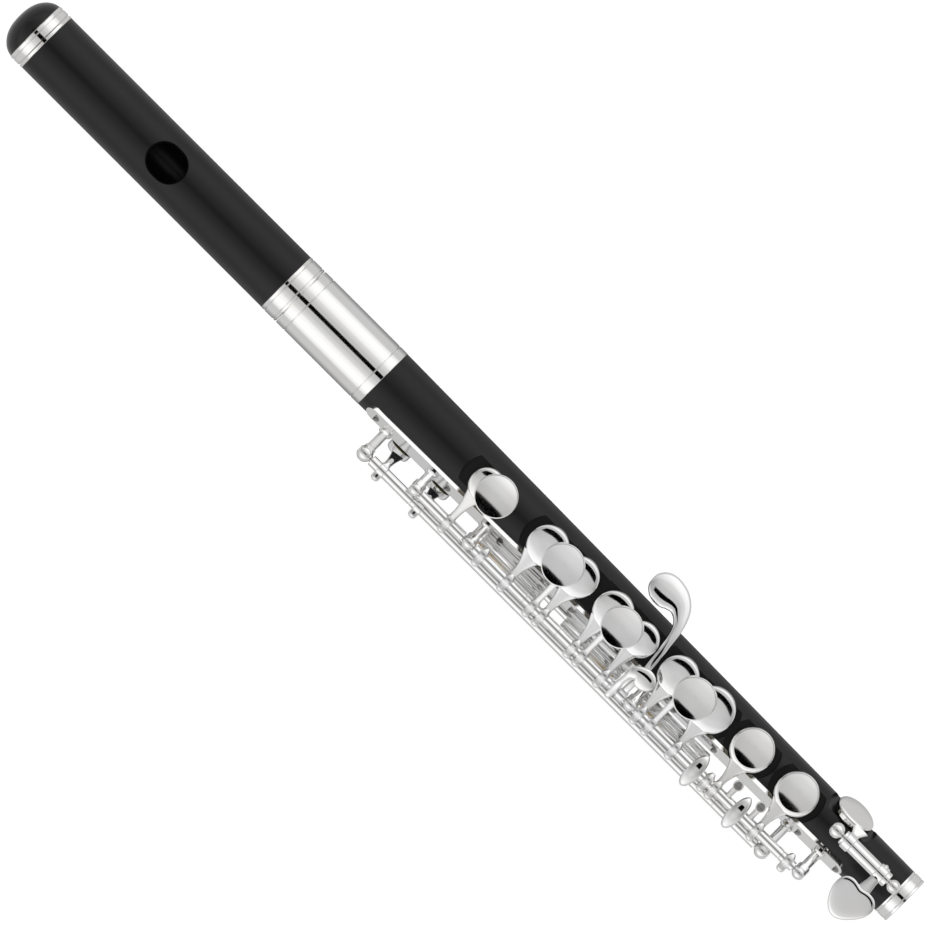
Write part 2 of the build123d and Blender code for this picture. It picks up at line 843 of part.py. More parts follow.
def raised_touch(x, y, radius, hole, stems, lift=0.5, depth=DISH_DEPTH):
    """A finger dish on short stems that stand on the domed cups below it."""
    height = seat_top(hole) + lift
    with BuildPart() as piece:
        add(finger_dish(x, y, height, radius, depth))
        for stem_x, stem_y, stem_radius in stems:
            add(pillar(stem_x, stem_y, seat_top(hole) - 0.7, height + 0.3, stem_radius))
    return piece.part


main_key(
    "c_sharp_key",
    [
        cup_arm(c_hole, 148.6, MAIN_AXIS, 5.2),
        cup(c_hole),
        raised_touch(144.6, -0.1, 5.65, c_hole, [(146.2, 0.3, 1.3)], 0.5, DEEP_DISH),
    ],
)
main_pad("c_sharp_pad", c_hole)

main_key(
    "b_flat_key",
    [
        cup_arm(b_hole, 127.6, MAIN_AXIS, 6.2),
        cup(b_hole),
        collar(136.6, MAIN_AXIS),
        finial(136.6, MAIN_AXIS),
    ],
    STEEL_RADIUS,
)
main_pad("b_flat_pad", b_hole)

main_key(
    "a_key",
    [
        cup_arm(a_hole, 115.3, MAIN_AXIS, 6.2),
        cup(a_hole),
        touch_arm(118.7, MAIN_AXIS, seat_top(a_hole) + 0.5),
        raised_touch(120.6, 0.35, 5.6, a_hole, [(118.0, 0.9, 1.3)], 0.75),
    ],
)
main_pad("a_pad", a_hole)

main_key(
    "g_key",
    [
        cup_arm(g_hole, 104.1, MAIN_AXIS, 6.2),
        cup(g_hole),
        cup_arm(lower_g, 93.6, MAIN_AXIS, 5.2),
        cup(lower_g),
        touch_arm(101.0, MAIN_AXIS, seat_top(g_hole) + 0.3),
        raised_touch(99.1, 1.05, 5.45, g_hole, [(101.4, 1.2, 1.3), (96.2, 1.2, 1.2)], 0.6),
    ],
)
main_pad("g_pads", g_hole, lower_g)

with BuildPart() as shake_lever:
    PADDLE = [
        (90.7, 8.6),
        (90.4, 5.9),
        (88.9, 4.5),
        (86.0, 4.1),
        (83.8, 4.9),
        (82.9, 6.8),
        (84.0, 8.7),
        (86.8, 9.2),
        (88.6, 9.7),
        (88.9, 11.0),
        (88.9, 13.0),
        (89.8, 14.0),
        (90.7, 13.0),
        (90.7, 11.0),
    ]
    PADDLE_CREST = [(2.5, 12.0), (6.5, 12.1), (10.0, 11.3), (13.0, 9.4), (15.5, 7.0)]
    add(shaped_plate(PADDLE, PADDLE_CREST, 1.0))
    add(main_sleeve("shake_lever"))
    add(arm(89.8, (12.0, 10.0), MAIN_AXIS, 1.9, 1.9, 1.0, 1.8))
    add(rod(80, 100, STEEL_RADIUS, MAIN_AXIS), mode=Mode.SUBTRACT)
save(turned_about(shake_lever.part, MAIN_AXIS, -MAIN_OPENING), "shake_lever")

save(rod(83.2, 141.2, STEEL_RADIUS, MAIN_AXIS), "left_hand_steel")
save(rod(22.6, 82.9, STEEL_RADIUS, MAIN_AXIS), "right_hand_steel")

main_key(
    "f_sharp_key",
    [cup_arm(f_sharp, 80.6, MAIN_AXIS, 6.0), cup(f_sharp)],
    STEEL_RADIUS,
)
main_pad("f_sharp_pad", f_sharp)
main_key("end_collar", [collar(28.2, MAIN_AXIS), finial(28.2, MAIN_AXIS)], STEEL_RADIUS)

main_key(
    "f_key",
    [
        cup_arm(f_hole, 68.1, MAIN_AXIS, 6.6),
        cup(f_hole),
        touch_arm(76.6, MAIN_AXIS, seat_top(f_hole) + 0.5),
        raised_touch(73.6, 0.8, 5.6, f_hole, [(71.4, 1.0, 1.3)], 0.75),
    ],
)
main_pad("f_pad", f_hole)

SCREW_BOSS = 1.4
for name, hole, arm_x, pad_name, boss in (
    ("e_key", e_hole, 54.0, "e_pad", (50.3, 8.9)),
    ("d_key", d_hole, 39.2, "d_pad", (42.5, 8.7)),
):
    boss_x, boss_y = boss
    boss_z = MAIN_AXIS[1] + 1.2
    with BuildPart() as boss_arm:
        add(arm(boss_x, (boss_y, boss_z - 0.5), MAIN_AXIS, 1.8, 2.0, 0.9, 1.6))
        add(pillar(boss_x, boss_y, boss_z - 1.2, boss_z + 0.2, SCREW_BOSS))
        add(pillar(boss_x, boss_y, boss_z - 2, boss_z + 2, 0.7), mode=Mode.SUBTRACT)
    pieces = [
        cup_arm(hole, arm_x, MAIN_AXIS, 6.4),
        cup(hole),
        raised_touch(hole.x, -0.8, hole.cup - 0.5, hole, [(hole.x, 0.1, 2.6)], 0.35),
        boss_arm.part,
    ]
    if name == "e_key":
        pieces += [collar(56.7, MAIN_AXIS), finial(56.7, MAIN_AXIS)]
    main_key(name, pieces)
    main_pad(pad_name, hole)
    with BuildPart() as adjuster:
        add(pillar(boss_x, boss_y, boss_z - 1.9, boss_z + 0.2, 0.7))
        add(pillar(boss_x, boss_y, boss_z + 0.2, boss_z + 0.65, 1.05))
        with Locations((boss_x, boss_y, boss_z + 0.65)):
            Box(2.4, 0.35, 0.6, mode=Mode.SUBTRACT)
    save(turned_about(adjuster.part, MAIN_AXIS, -MAIN_OPENING), name[0] + "_adjusting_screw")

# ---- The G sharp key: touch on one side, cup under the other side of the main rod ----
g_sharp = HOLES["g_sharp"]
with BuildPart() as g_sharp_lever:
    LEVER = [
        (86.2, 9.0),
        (86.2, 4.3),
        (86.5, 0.0),
        (87.2, -6.1),
        (88.5, -10.4),
        (92.1, -15.4),
        (97.5, -17.4),
        (101.2, -15.8),
        (102.2, -12.6),
        (100.6, -9.2),
        (98.0, -8.1),
        (93.9, -8.8),
        (90.6, -8.1),
        (88.8, -6.1),
        (88.1, 0.0),
        (87.9, 4.3),
        (88.1, 9.0),
        (88.1, 13.5),
        (87.2, 14.6),
        (86.3, 13.5),
    ]
    LEVER_CREST = [
        (-18.5, 7.5),
        (-15.0, 8.3),
        (-12.0, 8.8),
        (-8.0, 10.0),
        (-4.0, 10.9),
        (0.5, 11.1),
        (5.0, 10.7),
        (10.0, 9.9),
        (13.8, 9.2),
        (15.5, 8.0),
    ]
    add(shaped_plate(LEVER, LEVER_CREST, 1.3))
    add(rod(80, 100, LEVER_CLEARANCE, MAIN_AXIS), mode=Mode.SUBTRACT)
save(g_sharp_lever.part, "g_sharp_lever")

with BuildPart() as g_sharp_key:
    add(main_sleeve("g_sharp_key"))
    add(cup_arm(g_sharp, 87.2, MAIN_AXIS, 2.2, 2.2, side=-1, tipped=False))
    add(cup(g_sharp))
    add(cup_hollow(g_sharp), mode=Mode.SUBTRACT)
    add(rod(80, 100, SLEEVE_BORE, MAIN_AXIS), mode=Mode.SUBTRACT)
save(g_sharp_key.part, "g_sharp_key")
save(pad(g_sharp), "g_sharp_pad")

# ---- The D sharp key for the little finger ----
d_sharp = HOLES["d_sharp"]
PINKY_SLEEVE = (7.0, 22.8)
PINKY_COLLAR = 2.45
with BuildPart() as d_sharp_touch:
    HEART = [
        (10.6, 15.7),
        (7.2, 13.2),
        (4.6, 9.6),
        (4.6, 6.6),
        (6.6, 4.7),
        (9.0, 4.6),
        (10.2, 5.2),
        (11.4, 4.6),
        (14.0, 4.7),
        (16.0, 6.6),
        (15.9, 9.6),
        (13.6, 13.2),
    ]
    HEART_CREST = [(3.5, 12.4), (8.0, 12.3), (12.0, 11.5), (16.5, 9.8)]
    add(shaped_plate(HEART, HEART_CREST, 1.3))
    add(arm(9.6, (7.0, 11.5), PINKY_AXIS, 3.6, 2.6, 1.3, 2.4))
    add(rod(0, 40, PINKY_COLLAR, PINKY_AXIS), mode=Mode.SUBTRACT)
save(Part() + d_sharp_touch.part.solids().sort_by(SortBy.VOLUME)[-1], "d_sharp_touch")

with BuildPart() as d_sharp_key:
    add(collar(9.6, PINKY_AXIS, 2.8, PINKY_COLLAR))
    add(sleeve(*PINKY_SLEEVE, PINKY_AXIS, PINKY_SLEEVE_RADIUS))
    start = d_sharp.plane(RIM_LIFT).from_local_coords((0, d_sharp.cup - 0.9, 1.25))
    add(arm(20.8, (start.Y, start.Z), PINKY_AXIS, 5.0, 2.8, 1.3, 2.4))
    add(collar(20.8, PINKY_AXIS, 2.6, PINKY_COLLAR))
    add(cup(d_sharp))
    add(cup_hollow(d_sharp), mode=Mode.SUBTRACT)
    add(rod(0, 40, SLEEVE_BORE, PINKY_AXIS), mode=Mode.SUBTRACT)
save(d_sharp_key.part, "d_sharp_key")
save(pad(d_sharp), "d_sharp_pad")

# ---- The trill keys on their own rod ----
TRILL_TOUCH_TOP = 11.6
LONG_SLEEVE = (51.7, 158.7)
UPPER_SLEEVE = (158.8, 173.2)
LOWER_SLEEVE = (36.8, 51.6)


def trill_touch(x):
    """A pointed oval touch that reaches over the key rods."""
    outline = [(x, 9.2), (x - 1.45, 11.2), (x - 1.75, 14.3), (x - 1.4, 17.4)]
    outline += [(x, 19.4), (x + 1.4, 17.4), (x + 1.75, 14.3), (x + 1.45, 11.2)]
    crest = [(7.5, TRILL_TOUCH_TOP - 0.3), (12.0, TRILL_TOUCH_TOP), (16.0, 11.1), (21.0, 9.6)]
    with BuildPart() as piece:
        add(shaped_plate(outline, crest, 1.0))
        add(arm(x, (17.3, 10.4), TRILL_AXIS, 2.2, 2.2, 1.2, 1.8))
        add(collar(x, TRILL_AXIS, 2.4, 1.75))
    return piece.part


def trill_cup(hole, arm_x, tube, core):
    """The cup end of a closed trill key: its tube, arm and small cup."""
    with BuildPart() as piece:
        add(sleeve(*tube, TRILL_AXIS, TRILL_SLEEVE_RADIUS))
        plane = hole.plane(RIM_LIFT)
        start = plane.from_local_coords((0, -(hole.cup - 0.9), 1.25))
        add(arm(arm_x, (start.Y, start.Z), TRILL_AXIS, 3.6, 2.3))
        add(collar(arm_x, TRILL_AXIS, 2.3, 1.8))
        add(finial(arm_x, TRILL_AXIS, 0))
        add(cup(hole))
        add(cup_hollow(hole), mode=Mode.SUBTRACT)
        add(rod(30, 180, core, TRILL_AXIS), mode=Mode.SUBTRACT)
    return piece.part


with BuildPart() as d_trill_key:
    add(trill_cup(HOLES["d_trill"], 156.3, LONG_SLEEVE, SLEEVE_BORE))
    add(trill_touch(60.8))
    add(rod(30, 180, SLEEVE_BORE, TRILL_AXIS), mode=Mode.SUBTRACT)
save(d_trill_key.part, "d_trill_key")
save(pad(HOLES["d_trill"]), "d_trill_pad")

with BuildPart() as d_sharp_trill_touch:
    add(sleeve(*LOWER_SLEEVE, TRILL_AXIS, TRILL_SLEEVE_RADIUS))
    add(trill_touch(45.9))
    add(rod(30, 180, STEEL_RADIUS, TRILL_AXIS), mode=Mode.SUBTRACT)
save(d_sharp_trill_touch.part, "d_sharp_trill_touch")
upper_cup = trill_cup(HOLES["d_sharp_trill"], 169.5, UPPER_SLEEVE, STEEL_RADIUS)
save(upper_cup, "d_sharp_trill_key")
save(pad(HOLES["d_sharp_trill"]), "d_sharp_trill_pad")
save(rod(33.2, 176.8, STEEL_RADIUS, TRILL_AXIS), "trill_steel")

# ---- The thumb keys under the tube ----
thumb_hole = HOLES["thumb_b"]
THUMB_Z = -10.9
THUMB_SLEEVE = (116.0, 138.4)
LEVER_SLEEVE = (109.2, 115.9)


def thumb_touch(outline, crest_drop):
    """A thumb plate under the tube, slightly hollowed."""
    crest = [(-5.5, THUMB_Z - crest_drop), (0, THUMB_Z), (4, THUMB_Z), (8.5, THUMB_Z + 1.4)]
    flipped = [(y, -z) for y, z in crest]
    plate = shaped_plate(outline, flipped, 1.1)
    return plate.mirror(Plane.XY)


with BuildPart() as thumb_b_key:
    plane = thumb_hole.plane(RIM_LIFT)
    start = plane.from_local_coords((0, -(thumb_hole.cup - 0.9), 1.25))
    add(arm(134.4, (start.Y, start.Z), THUMB_AXIS, 4.6, 2.4))
    add(collar(134.4, THUMB_AXIS, 2.4, 1.8))
    add(cup(thumb_hole))
    add(cup_hollow(thumb_hole), mode=Mode.SUBTRACT)
    add(sleeve(*THUMB_SLEEVE, THUMB_AXIS, 1.35))
    OUTLINE = [(118.0, 6.0), (117.6, 0.0), (119.4, -4.2), (123.0, -5.0), (126.2, -3.0)]
    OUTLINE += [(126.6, 2.0), (124.6, 6.0), (123.4, 9.0), (119.4, 9.0)]
    add(thumb_touch(OUTLINE, 0.3))
    add(rod(100, 145, SLEEVE_BORE, THUMB_AXIS), mode=Mode.SUBTRACT)
save(turned_about(thumb_b_key.part, THUMB_AXIS, THUMB_OPENING), "thumb_b_key")
save(turned_about(pad(thumb_hole), THUMB_AXIS, THUMB_OPENING), "thumb_b_pad")

with BuildPart() as thumb_flat_lever:
    add(sleeve(*LEVER_SLEEVE, THUMB_AXIS, 1.35))
    OUTLINE = [(110.4, 6.0), (109.8, 0.0), (111.4, -3.4), (114.0, -3.6), (116.4, -2.0)]
    OUTLINE += [(116.8, 2.0), (115.4, 6.0), (114.6, 9.0), (110.9, 9.0)]
    add(thumb_touch(OUTLINE, 0.3))
    add(rod(100, 145, SLEEVE_BORE, THUMB_AXIS), mode=Mode.SUBTRACT)
save(turned_about(thumb_flat_lever.part, THUMB_AXIS, THUMB_OPENING), "thumb_flat_lever")
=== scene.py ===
import json
from itertools import product
from math import cos, pi, sin

import bmesh
import bpy
from mathutils import Matrix, Vector


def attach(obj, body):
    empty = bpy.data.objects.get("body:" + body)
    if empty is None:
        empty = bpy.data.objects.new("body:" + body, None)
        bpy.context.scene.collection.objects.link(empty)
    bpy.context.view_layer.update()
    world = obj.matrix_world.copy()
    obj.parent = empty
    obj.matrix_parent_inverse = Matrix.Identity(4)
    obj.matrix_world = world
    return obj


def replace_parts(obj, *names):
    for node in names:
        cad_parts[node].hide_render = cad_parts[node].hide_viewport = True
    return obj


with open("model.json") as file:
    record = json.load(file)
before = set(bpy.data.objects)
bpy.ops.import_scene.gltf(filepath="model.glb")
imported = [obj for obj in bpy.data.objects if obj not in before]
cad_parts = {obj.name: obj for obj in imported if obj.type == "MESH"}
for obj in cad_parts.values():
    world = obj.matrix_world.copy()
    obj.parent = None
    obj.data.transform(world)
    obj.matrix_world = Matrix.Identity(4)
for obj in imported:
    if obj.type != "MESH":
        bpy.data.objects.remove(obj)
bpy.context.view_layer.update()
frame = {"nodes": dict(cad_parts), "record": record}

MM = 0.001
NODES = frame["nodes"]
SLOTS = {row["node"]: row["material_slot"] for row in frame["record"]["subparts"]}

# ---- Camera, in metres: it looks straight down on the instrument, which lies across the frame ----
CAMERA_HEIGHT = 5.0
FRAME_WIDTH = 0.2332
CENTRE_X = 0.15605
CENTRE_Y = 0.0007
SENSOR = 36.0

# ---- Light: brightness of the studio against the angle sideways from straight up, in degrees ----
WORLD_STRENGTH = 1.2
STUDIO = [
    (0.0, 0.46),
    (16.0, 0.49),
    (28.0, 0.60),
    (44.0, 0.86),
    (64.0, 1.0),
    (80.0, 0.80),
    (90.0, 0.54),
    (100.0, 0.50),
    (180.0, 0.45),
]
# The dark gap overhead: from black to light, in degrees sideways and as a share of 1 lengthwise.
GAP_SIDEWAYS = (6.3, 7.7)
GAP_ALONG = (0.40, 0.52)
# The studio darkens towards both ends of the instrument, by this share of the way raised to this power.
END_SHADE = 0.62
END_SHADE_POWER = 1.6
FLOOR_Z = -0.12
FLOOR_SIZE = 9.0
FLOOR_GLOW = 0.42
# The floor as the metal mirrors it: shaded under the instrument, from and to these distances.
FLOOR_SHADE_REACH = (0.03, 0.24)
FLOOR_SHADE_LEVELS = (0.22, 0.62)


# ---- Node helpers ----
class Nodes:
    """A short way to build a material's node tree."""

    def __init__(self, name):
        self.material = bpy.data.materials.new(name)
        self.material.use_nodes = True
        self.tree = self.material.node_tree
        self.shader = self.tree.nodes["Principled BSDF"]
        coordinates = self.tree.nodes.new("ShaderNodeTexCoord")
        self.place = coordinates.outputs["Object"]

    def add(self, kind, **values):
        node = self.tree.nodes.new(kind)
        for key, value in values.items():
            setattr(node, key, value)
        return node

    def link(self, source, target):
        self.tree.links.new(source, target)

    def stretched(self, scale):
        """Object coordinates multiplied by three numbers."""
        mapping = self.add("ShaderNodeMapping")
        mapping.inputs["Scale"].default_value = scale
        self.link(self.place, mapping.inputs["Vector"])
        return mapping.outputs["Vector"]

    def noise(self, scale, detail=3.0, rough=0.5, stretch=(1, 1, 1)):
        node = self.add("ShaderNodeTexNoise")
        node.inputs["Scale"].default_value = scale
        node.inputs["Detail"].default_value = detail
        node.inputs["Roughness"].default_value = rough
        self.link(self.stretched(stretch), node.inputs["Vector"])
        return node.outputs["Fac"]

    def ramp(self, source, low, high, low_value, high_value):
        """Maps a factor from one range to another."""
        node = self.add("ShaderNodeMapRange")
        node.inputs["From Min"].default_value = low
        node.inputs["From Max"].default_value = high
        node.inputs["To Min"].default_value = low_value
        node.inputs["To Max"].default_value = high_value
        self.link(source, node.inputs["Value"])
        return node.outputs["Result"]

    def mix(self, factor, first, second):
        """A colour between two colours."""
        node = self.add("ShaderNodeMix", data_type="RGBA")
        node.inputs["A"].default_value = (*first, 1)
        node.inputs["B"].default_value = (*second, 1)
        self.link(factor, node.inputs["Factor"])
        return node.outputs["Result"]

    def bump(self, height, strength, distance):
        node = self.add("ShaderNodeBump")
        node.inputs["Strength"].default_value = strength
        node.inputs["Distance"].default_value = distance
        self.link(height, node.inputs["Height"])
        self.link(node.outputs["Normal"], self.shader.inputs["Normal"])

    def set(self, **values):
        for key, value in values.items():
            self.shader.inputs[key.replace("_", " ")].default_value = value


def silver(name, tint, rough_low, rough_high, wave=0.12):
    """Bright plating: a mirror with faint polishing marks, and a softer film where it was handled."""
    n = Nodes(name)
    haze = n.noise(130.0, 4.0, 0.6)
    n.link(n.ramp(haze, 0.35, 0.75, rough_low, rough_high), n.shader.inputs["Roughness"])
    tone = n.noise(60.0, 2.0)
    warm = tuple(value * shade for value, shade in zip(tint, (0.985, 0.972, 0.95)))
    n.link(n.mix(n.ramp(tone, 0.4, 0.75, 0, 1), tint, warm), n.shader.inputs["Base Color"])
    n.set(Metallic=1.0)
    n.bump(n.noise(420.0, 2.0, 0.5), wave, 0.00004)
    return n.material


def black_resin(name, base, rough_low, rough_high, grain):
    """Moulded black resin with a fine satin grain along the tube and slight rubbed patches."""
    n = Nodes(name)
    rubbed = n.noise(45.0, 4.0, 0.6, (0.4, 1, 1))
    n.link(n.ramp(rubbed, 0.35, 0.7, rough_low, rough_high), n.shader.inputs["Roughness"])
    tone = n.noise(90.0, 3.0, 0.6, (0.25, 1, 1))
    lighter = tuple(value * 1.35 for value in base)
    n.link(n.mix(n.ramp(tone, 0.35, 0.7, 0, 1), base, lighter), n.shader.inputs["Base Color"])
    n.set(IOR=1.38)
    n.bump(n.noise(2600.0, 3.0, 0.6, (0.12, 1, 1)), grain, 0.00003)
    return n.material


def ground_steel(name, tint):
    """Steel rod ground round and round."""
    n = Nodes(name)
    rings = n.noise(900.0, 2.0, 0.5, (4.0, 0.3, 0.3))
    n.link(n.ramp(rings, 0.3, 0.7, 0.16, 0.3), n.shader.inputs["Roughness"])
    tone = n.noise(70.0, 2.0)
    darker = tuple(value * 0.85 for value in tint)
    n.link(n.mix(n.ramp(tone, 0.3, 0.7, 0, 1), tint, darker), n.shader.inputs["Base Color"])
    n.set(Metallic=1.0)
    n.bump(rings, 0.12, 0.00003)
    return n.material


def cork(name):
    """Natural cork: light brown with dark pits."""
    n = Nodes(name)
    pits = n.noise(1500.0, 5.0, 0.75)
    dark, light = (0.19, 0.10, 0.05), (0.56, 0.37, 0.20)
    n.link(n.mix(n.ramp(pits, 0.42, 0.6, 0, 1), dark, light), n.shader.inputs["Base Color"])
    n.set(Roughness=0.85)
    n.bump(pits, 0.5, 0.0002)
    return n.material


def pad_skin(name, tint):
    """Thin bladder skin, wrinkled a little over felt."""
    n = Nodes(name)
    creases = n.noise(900.0, 4.0, 0.6)
    darker = tuple(value * 0.72 for value in tint)
    n.link(n.mix(n.ramp(creases, 0.35, 0.65, 0, 1), darker, tint), n.shader.inputs["Base Color"])
    n.link(n.ramp(creases, 0.3, 0.7, 0.32, 0.5), n.shader.inputs["Roughness"])
    n.set(Sheen_Weight=0.25)
    n.bump(creases, 0.25, 0.0001)
    return n.material


def brass(name):
    """Turned brass, dulled inside the tube."""
    n = Nodes(name)
    tone = n.noise(400.0, 3.0)
    dull, clean = (0.62, 0.42, 0.16), (0.80, 0.60, 0.27)
    n.link(n.mix(n.ramp(tone, 0.35, 0.7, 0, 1), dull, clean), n.shader.inputs["Base Color"])
    n.link(n.ramp(tone, 0.3, 0.7, 0.22, 0.38), n.shader.inputs["Roughness"])
    n.set(Metallic=1.0)
    n.bump(n.noise(900.0, 2.0, 0.5, (6, 1, 1)), 0.2, 0.00005)
    return n.material


MATERIALS = {
    "body_black": black_resin("body_black", (0.0075, 0.0075, 0.0079), 0.30, 0.38, 0.05),
    "crown_black": black_resin("crown_black", (0.012, 0.012, 0.0125), 0.14, 0.2, 0.02),
    "silver_plate": silver("silver_plate", (0.92, 0.92, 0.92), 0.05, 0.10),
    "plated_ring": silver("plated_ring", (0.92, 0.92, 0.92), 0.06, 0.11, 0.06),
    "steel": ground_steel("steel", (0.62, 0.61, 0.60)),
    "screw_steel": ground_steel("screw_steel", (0.36, 0.35, 0.34)),
    "brass_thread": brass("brass_thread"),
    "cork": cork("cork"),
    "pad_skin": pad_skin("pad_skin", (0.62, 0.52, 0.30)),
    "pad_olive": pad_skin("pad_olive", (0.30, 0.26, 0.06)),
}


def dress_cad_nodes():
    """Gives every CAD node its material."""
    for name, node in NODES.items():
        node.data.materials.clear()
        node.data.materials.append(MATERIALS[SLOTS[name]])


dress_cad_nodes()


# ---- Shaped touches that take the place of plain CAD plates ----
def smooth_mesh(name, rings, material, body, levels=2):
    """A closed skin through rings of points, capped at both ends, then subdivided."""
    mesh = bpy.data.meshes.new(name)
    grid = bmesh.new()
    loops = [[grid.verts.new([value * MM for value in point]) for point in ring] for ring in rings]
    count = len(loops[0])
    for lower, upper in zip(loops, loops[1:]):
        for i in range(count):
            j = (i + 1) % count
            grid.faces.new((lower[i], lower[j], upper[j], upper[i]))
    grid.faces.new(list(reversed(loops[0])))
    grid.faces.new(loops[-1])
    bmesh.ops.recalc_face_normals(grid, faces=grid.faces)
    grid.to_mesh(mesh)
    grid.free()
    piece = bpy.data.objects.new(name, mesh)
    bpy.context.scene.collection.objects.link(piece)
    mesh.materials.append(MATERIALS[material])
    mesh.shade_smooth()
    rounding = piece.modifiers.new("rounding", "SUBSURF")
    rounding.levels = levels
    rounding.render_levels = levels
    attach(piece, body)
    return piece


def blended(stations, amount):
    """A smooth curve value between (place, value, value, ...) stations, by Catmull-Rom."""
    place = amount * (len(stations) - 1)
    index = min(int(place), len(stations) - 2)
    t = place - index
    before = stations[max(index - 1, 0)]
    start, end = stations[index], stations[index + 1]
    after = stations[min(index + 2, len(stations) - 1)]
    result = []
    for p, a, b, q in zip(before, start, end, after):
        result.append(
            0.5 * (2 * a + (b - p) * t + (2 * p - 5 * a + 4 * b - q) * t**2 + (3 * a - p - 3 * b + q) * t**3)
        )
    return result


# Centre lines of the spoon-shaped touches in mm, each station as
# (x, y, z, half width, crown above, depth below, rise of the rod side).
LEVER_LINE = [
    (87.15, 12.6, 8.9, 0.85, 0.6, 0.6, 0.0),
    (87.15, 9.0, 10.0, 0.9, 0.65, 0.55, 0.0),
    (87.2, 4.3, 10.5, 0.98, 0.75, 0.55, 0.0),
    (87.6, 0.0, 10.6, 1.02, 0.8, 0.55, 0.0),
    (88.3, -5.0, 10.2, 1.15, 0.9, 0.55, 0.1),
    (89.4, -9.0, 9.4, 1.6, 1.1, 0.5, 0.3),
    (91.6, -11.8, 8.7, 2.7, 1.2, 0.5, 0.45),
    (94.4, -12.9, 8.4, 3.85, 1.35, 0.5, 0.6),
    (97.6, -12.8, 8.3, 4.5, 1.4, 0.5, 0.7),
    (100.2, -12.5, 8.2, 3.8, 1.2, 0.5, 0.65),
    (101.8, -12.3, 8.1, 2.2, 0.75, 0.4, 0.4),
    (102.3, -12.25, 7.95, 0.6, 0.35, 0.3, 0.1),
]
SHAKE_LINE = [
    (89.6, 17.0, 7.5, 0.3, 0.3, 0.3, 0.0),
    (89.6, 16.3, 7.8, 0.85, 0.75, 0.6, 0.0),
    (89.6, 14.2, 8.2, 1.1, 1.1, 1.4, 0.0),
    (89.6, 12.2, 9.3, 1.0, 0.95, 0.8, 0.0),
    (89.5, 10.3, 10.9, 0.95, 0.85, 0.6, 0.0),
    (89.2, 8.7, 12.1, 1.2, 0.85, 0.5, 0.0),
    (88.3, 7.4, 12.6, 2.1, 0.95, 0.45, -0.25),
    (86.5, 7.05, 12.8, 2.85, 1.0, 0.45, -0.4),
    (84.7, 7.0, 12.8, 2.65, 0.9, 0.45, -0.35),
    (83.3, 7.0, 12.75, 1.7, 0.6, 0.4, -0.2),
    (82.7, 7.0, 12.7, 0.45, 0.25, 0.25, 0.0),
]
# One trill touch in mm, used at two places along the tube: (y, z, half width, crown above, depth below).
TRILL_LINE = [
    (9.0, 10.95, 0.3, 0.4, 0.4),
    (10.1, 11.0, 1.2, 0.95, 0.6),
    (11.3, 11.05, 1.62, 1.15, 0.6),
    (12.8, 11.05, 1.85, 1.2, 0.6),
    (14.4, 10.9, 1.95, 1.2, 0.6),
    (16.0, 10.6, 1.9, 1.15, 0.6),
    (17.4, 10.3, 1.65, 1.05, 0.6),
    (18.6, 9.95, 1.1, 0.9, 0.55),
    (19.35, 9.7, 0.35, 0.4, 0.4),
]
TRILL_TOUCHES = (("d_trill_key", 60.8), ("d_sharp_trill_key", 45.9))
SPOON_STEPS = 44
SPOON_SIDES = 20
# How far ahead and behind a spoon's direction is taken, as a share of its length.
SPOON_REACH = 0.01
# The main rod's axis, as (y, z), and the key tube that carries the shake lever, as (x, radius), in mm.
MAIN_ROD = (13.8, 7.34)
SHAKE_TUBE = [(88.5, 0.84), (88.5, 1.28), (88.62, 1.4), (91.08, 1.4), (91.2, 1.28), (91.2, 0.84)]


def spoon(name, line, body):
    """A slim stem that swells into a rounded drop for a finger."""
    rings = []
    for step in range(SPOON_STEPS + 1):
        share = step / SPOON_STEPS
        x, y, z, half, crown, depth, rise = blended(line, share)
        ahead = blended(line, min(share + SPOON_REACH, 1.0))
        behind = blended(line, max(share - SPOON_REACH, 0.0))
        along = Vector((ahead[0] - behind[0], ahead[1] - behind[1], 0)).normalized()
        side = Vector((along.y, -along.x, 0))
        ring = []
        for i in range(SPOON_SIDES):
            turn = 2 * pi * i / SPOON_SIDES
            height = (crown if sin(turn) > 0 else depth) * sin(turn) + rise * side.y * cos(turn)
            ring.append(Vector((x, y, z)) + side * half * cos(turn) + Vector((0, 0, height)))
        rings.append(ring)
    return smooth_mesh(name, rings, "silver_plate", body, 1)


def trill_touches():
    """Rounded drops over the flat touches of the two trill keys."""
    for body, x in TRILL_TOUCHES:
        spoon(f"{body}_drop", [(x, *station, 0.0) for station in TRILL_LINE], body)


def ring_of(x, y, z, radius, count=32):
    """Points around a circle across the tube."""
    return [
        (x, y + radius * cos(2 * pi * i / count), z + radius * sin(2 * pi * i / count)) for i in range(count)
    ]


def g_sharp_touch():
    """The left little finger's lever."""
    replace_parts(spoon("g_sharp_lever_shaped", LEVER_LINE, "g_sharp_key"), "g_sharp_lever")


def shake_touch():
    """The small right-hand lever and the length of key tube it turns with."""
    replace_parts(spoon("shake_lever_shaped", SHAKE_LINE, "a_key"), "shake_lever")
    rings = [ring_of(x, *MAIN_ROD, radius) for x, radius in SHAKE_TUBE]
    smooth_mesh("shake_lever_tube", rings, "silver_plate", "a_key", 0)


# Outline of the D sharp touch in mm, as (x, y), from its tip round to its tip.
HEART_LINE = [
    (10.8, 15.75),
    (8.9, 15.2),
    (7.0, 13.6),
    (5.1, 11.3),
    (4.0, 8.8),
    (4.4, 6.3),
    (6.2, 4.9),
    (8.4, 4.9),
    (10.2, 5.7),
    (12.2, 4.85),
    (14.4, 4.95),
    (16.0, 6.3),
    (16.4, 8.8),
    (15.7, 11.3),
    (14.4, 13.6),
    (12.7, 15.2),
]
HEART_CENTRE = (10.4, 9.4)
